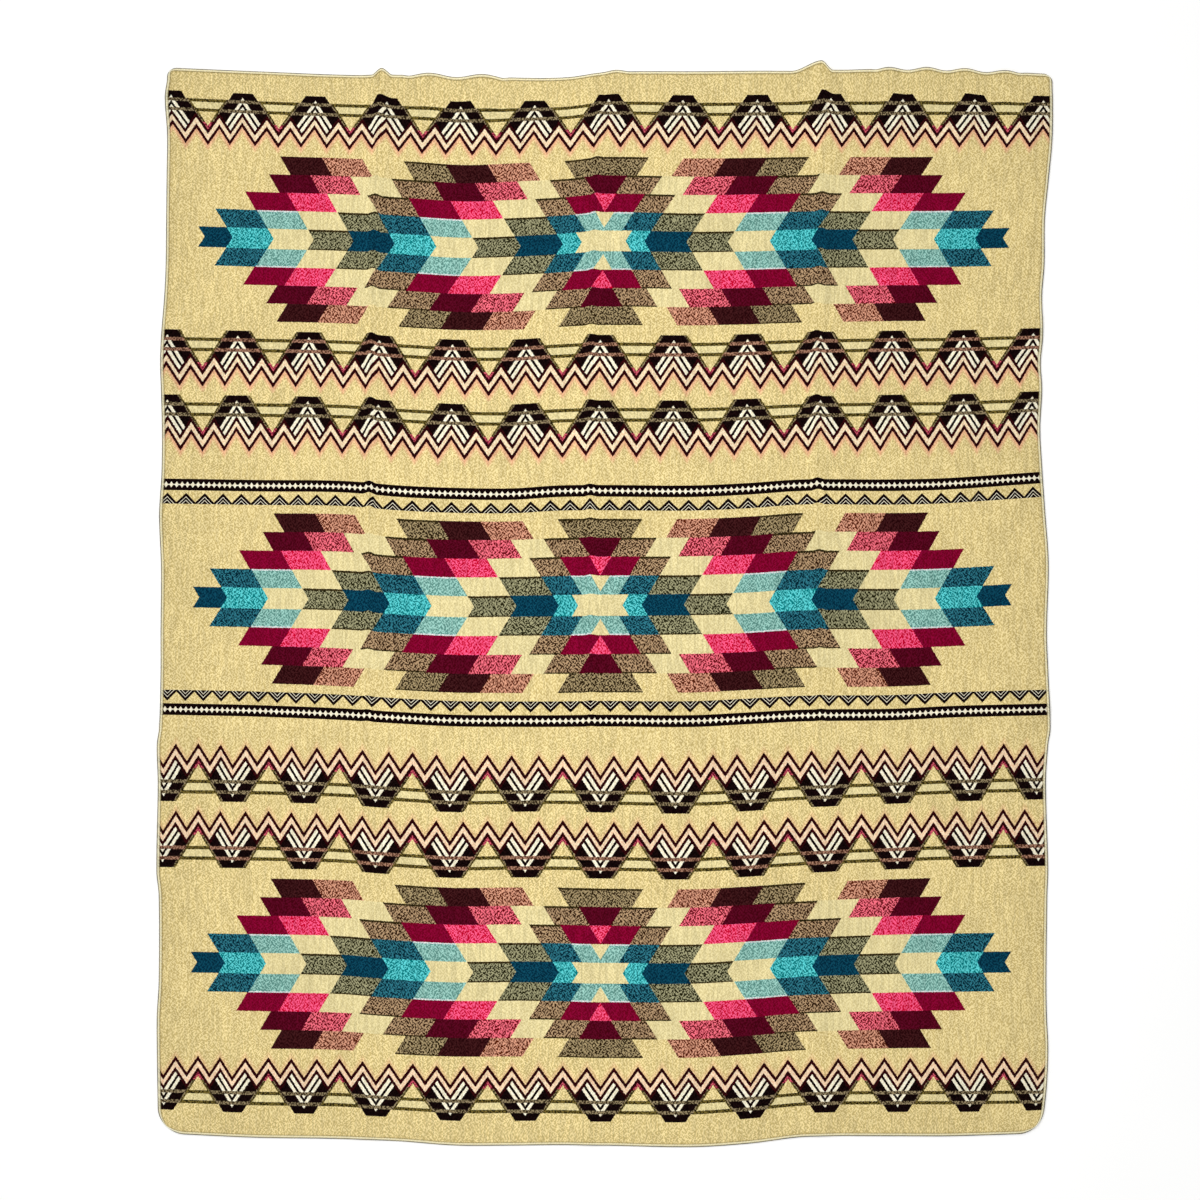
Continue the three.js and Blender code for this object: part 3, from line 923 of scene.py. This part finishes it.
def woven_cloth():
    """Brushed wool-like weave in the chart's yarns."""
    material = bpy.data.materials.new("woven_cloth")
    chart = Chart(material)
    flat = chart.add("ShaderNodeUVMap", uv_map="weave").outputs[0]
    split = chart.add("ShaderNodeSeparateXYZ")
    chart.feed(split.inputs[0], flat)
    cloth_across, cloth_along = split.outputs[0], split.outputs[1]

    across = off_axis(chart, wander(chart, cloth_across, cloth_along, WANDER_ACROSS))
    signed_along = wander(chart, cloth_along, cloth_across, WANDER_ALONG)
    along = chart.size(signed_along)
    slot = float_lines(chart, signed_along, medallion(chart, across, along))

    straight_across = drawn_in(chart, off_axis(chart, cloth_across))
    straight_along = chart.size(cloth_along)
    triangles = triangle_row(chart, straight_across, straight_along)
    near_triangles = chart.maths("COMPARE", straight_along, TRIANGLES["middle"], TRIANGLES["window"])
    slot = chart.choose(near_triangles, triangles, slot)
    chain = diamond_chain(chart, straight_across, straight_along)
    near_chain = chart.maths("COMPARE", straight_along, CHAIN["middle"], CHAIN["window"])
    slot = chart.choose(near_chain, chain, slot)
    toward_foot = chart.above(0, cloth_along)
    mountains, bleed = mountain_band(chart, drawn_in(chart, across), along, toward_foot)
    in_band = chart.maths("COMPARE", along, BAND_WINDOW["middle"], BAND_WINDOW["half"])
    in_band = chart.maths("MAXIMUM", in_band, chart.above(along, BAND_WINDOW["hem_start"]))
    slot = chart.choose(in_band, mountains, slot)

    column = chart.maths("FLOOR", chart.times(cloth_across, 1 / STRAND_WIDTH))
    strand_row = chart.maths("FLOOR", chart.times(cloth_along, 1 / STRAND_LENGTH))
    strands = strand_turns(chart, column, strand_row)
    streak_column = chart.maths("FLOOR", chart.times(cloth_across, 1 / STREAK_WIDTH))
    stagger = chart.times(streak_column, STREAK_STAGGER)
    streak_place = chart.plus(chart.times(cloth_along, 1 / STREAK_LENGTH), stagger)
    streaks = chart.scatter(chart.join(chart.maths("FLOOR", streak_place), chart.plus(streak_column, 0.5)))
    fleck = chart.ramp_between(strands, *FLECK_RANGE)
    colour = chart.blend(fleck, palette(chart, slot, 0), palette(chart, slot, 1))
    bleed = chart.times(bleed, in_band)
    colour = chart.blend(bleed, colour, linear(HAZE_COLOUR))

    cloud_across = chart.times(cloth_across, CLOUD_SCALE)
    cloud_along = chart.times(cloth_along, CLOUD_SCALE)
    clouds = chart.grain(chart.join(cloud_across, cloud_along))
    tone = chart.ramp_between(streaks, 0, 1, *STREAK_TONES)
    tone = chart.plus(tone, chart.ramp_between(clouds, *CLOUD_RANGE, *CLOUD_TONES))
    for ridge in LENGTH_RIDGES:
        tone = chart.times(tone, crease_shade(chart, cloth_across, cloth_along, ridge))
    side_inset = chart.less(HALF_WIDTH, chart.size(cloth_across))
    end_inset = chart.less(HALF_LENGTH, chart.size(cloth_along))
    inset = chart.maths("MINIMUM", side_inset, end_inset)
    shade = chart.ramp_between(inset, EDGE_SHADE["start"], EDGE_SHADE["end"], EDGE_SHADE["tone"], 1.0)
    # Painted shade: a darker line along the groove that the seam pulls into the cloth
    from_seam = chart.size(chart.less(inset, SEAM_GROOVE_SHADE["inset"]))
    groove_shade = chart.ramp_between(from_seam, SEAM_GROOVE_SHADE["core"], SEAM_GROOVE_SHADE["reach"],
                                SEAM_GROOVE_SHADE["tone"], 1.0)
    tone = chart.times(chart.times(tone, shade), groove_shade)
    grey = chart.add("ShaderNodeCombineColor")
    for socket in grey.inputs:
        chart.feed(socket, tone)
    colour = chart.blend(1.0, colour, grey.outputs[0], "MULTIPLY")
    stitched = chart.times(chart.above(STITCHED_WIDTH, inset), STITCHED_SHARE)
    colour = chart.blend(stitched, colour, linear(STITCHED_COLOUR))
    chart.feed(chart.shader.inputs["Base Color"], colour)

    relief = chart.times(chart.plus(strands, streaks), CLOTH_BUMP["share"])
    chart.raise_surface(relief, CLOTH_BUMP["strength"], CLOTH_BUMP["distance"])
    roughness = chart.ramp_between(strands, *STRAND_RANGE, *CLOTH_ROUGHNESS)
    chart.feed(chart.shader.inputs["Roughness"], roughness)
    chart.shader.inputs["Specular IOR Level"].default_value = 0.02
    chart.shader.inputs["Sheen Weight"].default_value = 0.02
    chart.shader.inputs["Sheen Roughness"].default_value = 0.6
    return material


def spun_thread(name, deep, bright, scale):
    """Thread spun from darker and lighter strands, in patches that are smaller at a larger scale."""
    material = bpy.data.materials.new(name)
    chart = Chart(material)
    grain = chart.object_grain(scale)
    share = chart.ramp_between(grain, *THREAD_GRAIN)
    colour = chart.blend(share, linear(deep), linear(bright))
    chart.feed(chart.shader.inputs["Base Color"], colour)
    chart.raise_surface(grain, THREAD_BUMP["strength"], THREAD_BUMP["distance"])
    chart.shader.inputs["Roughness"].default_value = 0.8
    chart.shader.inputs["Specular IOR Level"].default_value = 0.15
    return material


def pale_floor():
    material = bpy.data.materials.new("pale_floor")
    chart = Chart(material)
    colour = chart.blend(chart.object_grain(FLOOR_GRAIN), *FLOOR_COLOURS)
    chart.feed(chart.shader.inputs["Base Color"], colour)
    chart.feed(chart.shader.inputs["Emission Color"], colour)
    chart.shader.inputs["Emission Strength"].default_value = FLOOR_GLOW
    chart.shader.inputs["Roughness"].default_value = 0.8
    chart.shader.inputs["Specular IOR Level"].default_value = 0.1
    return material


# Studio

def make_floor(material):
    plane = bmesh.new()
    bmesh.ops.create_grid(plane, x_segments=1, y_segments=1, size=FLOOR_SIDE / 2)
    bmesh.ops.translate(plane, verts=plane.verts[:], vec=(0, 0, -FLOOR_GAP))
    mesh = bpy.data.meshes.new("floor")
    plane.to_mesh(mesh)
    plane.free()
    floor = add_piece("floor", mesh, material)
    return floor


def add_light(name, kind, place, strength):
    lamp = bpy.data.lights.new(name, kind)
    lamp.energy = strength
    holder = bpy.data.objects.new(name, lamp)
    holder.location = place
    bpy.context.scene.collection.objects.link(holder)
    return holder


def light_studio():
    scene = bpy.context.scene
    scene.view_settings.view_transform = "Standard"
    world = bpy.data.worlds.new("soft_room")
    world.use_nodes = True
    world.node_tree.nodes["Background"].inputs["Color"].default_value = (1, 1, 1, 1)
    world.node_tree.nodes["Background"].inputs["Strength"].default_value = ROOM_LIGHT
    scene.world = world
    key = add_light("key_light", "SUN", KEY_LIGHT["place"], KEY_LIGHT["strength"])
    key.data.angle = math.radians(KEY_LIGHT["spread"])
    key.rotation_euler = Vector(KEY_LIGHT["place"]).to_track_quat("Z", "Y").to_euler()
    strip = add_light("strip_light", "AREA", STRIP_LIGHT["place"], STRIP_LIGHT["strength"])
    strip.data.shape = "RECTANGLE"
    strip.data.size = STRIP_LIGHT["width"]
    strip.data.size_y = STRIP_LIGHT["length"]
    strip.visible_camera = False


def place_camera():
    view = bpy.data.cameras.new("overhead_camera")
    view.lens = LENS
    view.sensor_width = SENSOR
    camera = bpy.data.objects.new("overhead_camera", view)
    camera.location = (*PICTURE_MIDDLE, PICTURE_SPAN * LENS / SENSOR)
    bpy.context.scene.collection.objects.link(camera)
    bpy.context.scene.camera = camera


place_camera()
light_studio()
floor = make_floor(pale_floor())
sheet = make_panel(woven_cloth())
pale_thread = spun_thread("pale_thread", **PALE_THREAD)
tan_thread = spun_thread("tan_thread", **TAN_THREAD)
# The edge thread is a real looper thread whose dark colour is painted shadow at the cloth's edge
edge_shadow_thread = spun_thread("edge_shadow_thread", **EDGE_SHADOW_THREAD)
loops = make_thread("overlock_loops", LOOP_STATIONS, LOOP_THREAD, pale_thread)
seam = make_thread("overlock_seam", SEAM_STATIONS, SEAM_THREAD, tan_thread)
edge = make_thread("overlock_edge", EDGE_STATIONS, EDGE_THREAD, edge_shadow_thread)
for piece in (sheet, loops, seam, edge):
    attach(piece, "root")
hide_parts("woven_panel")
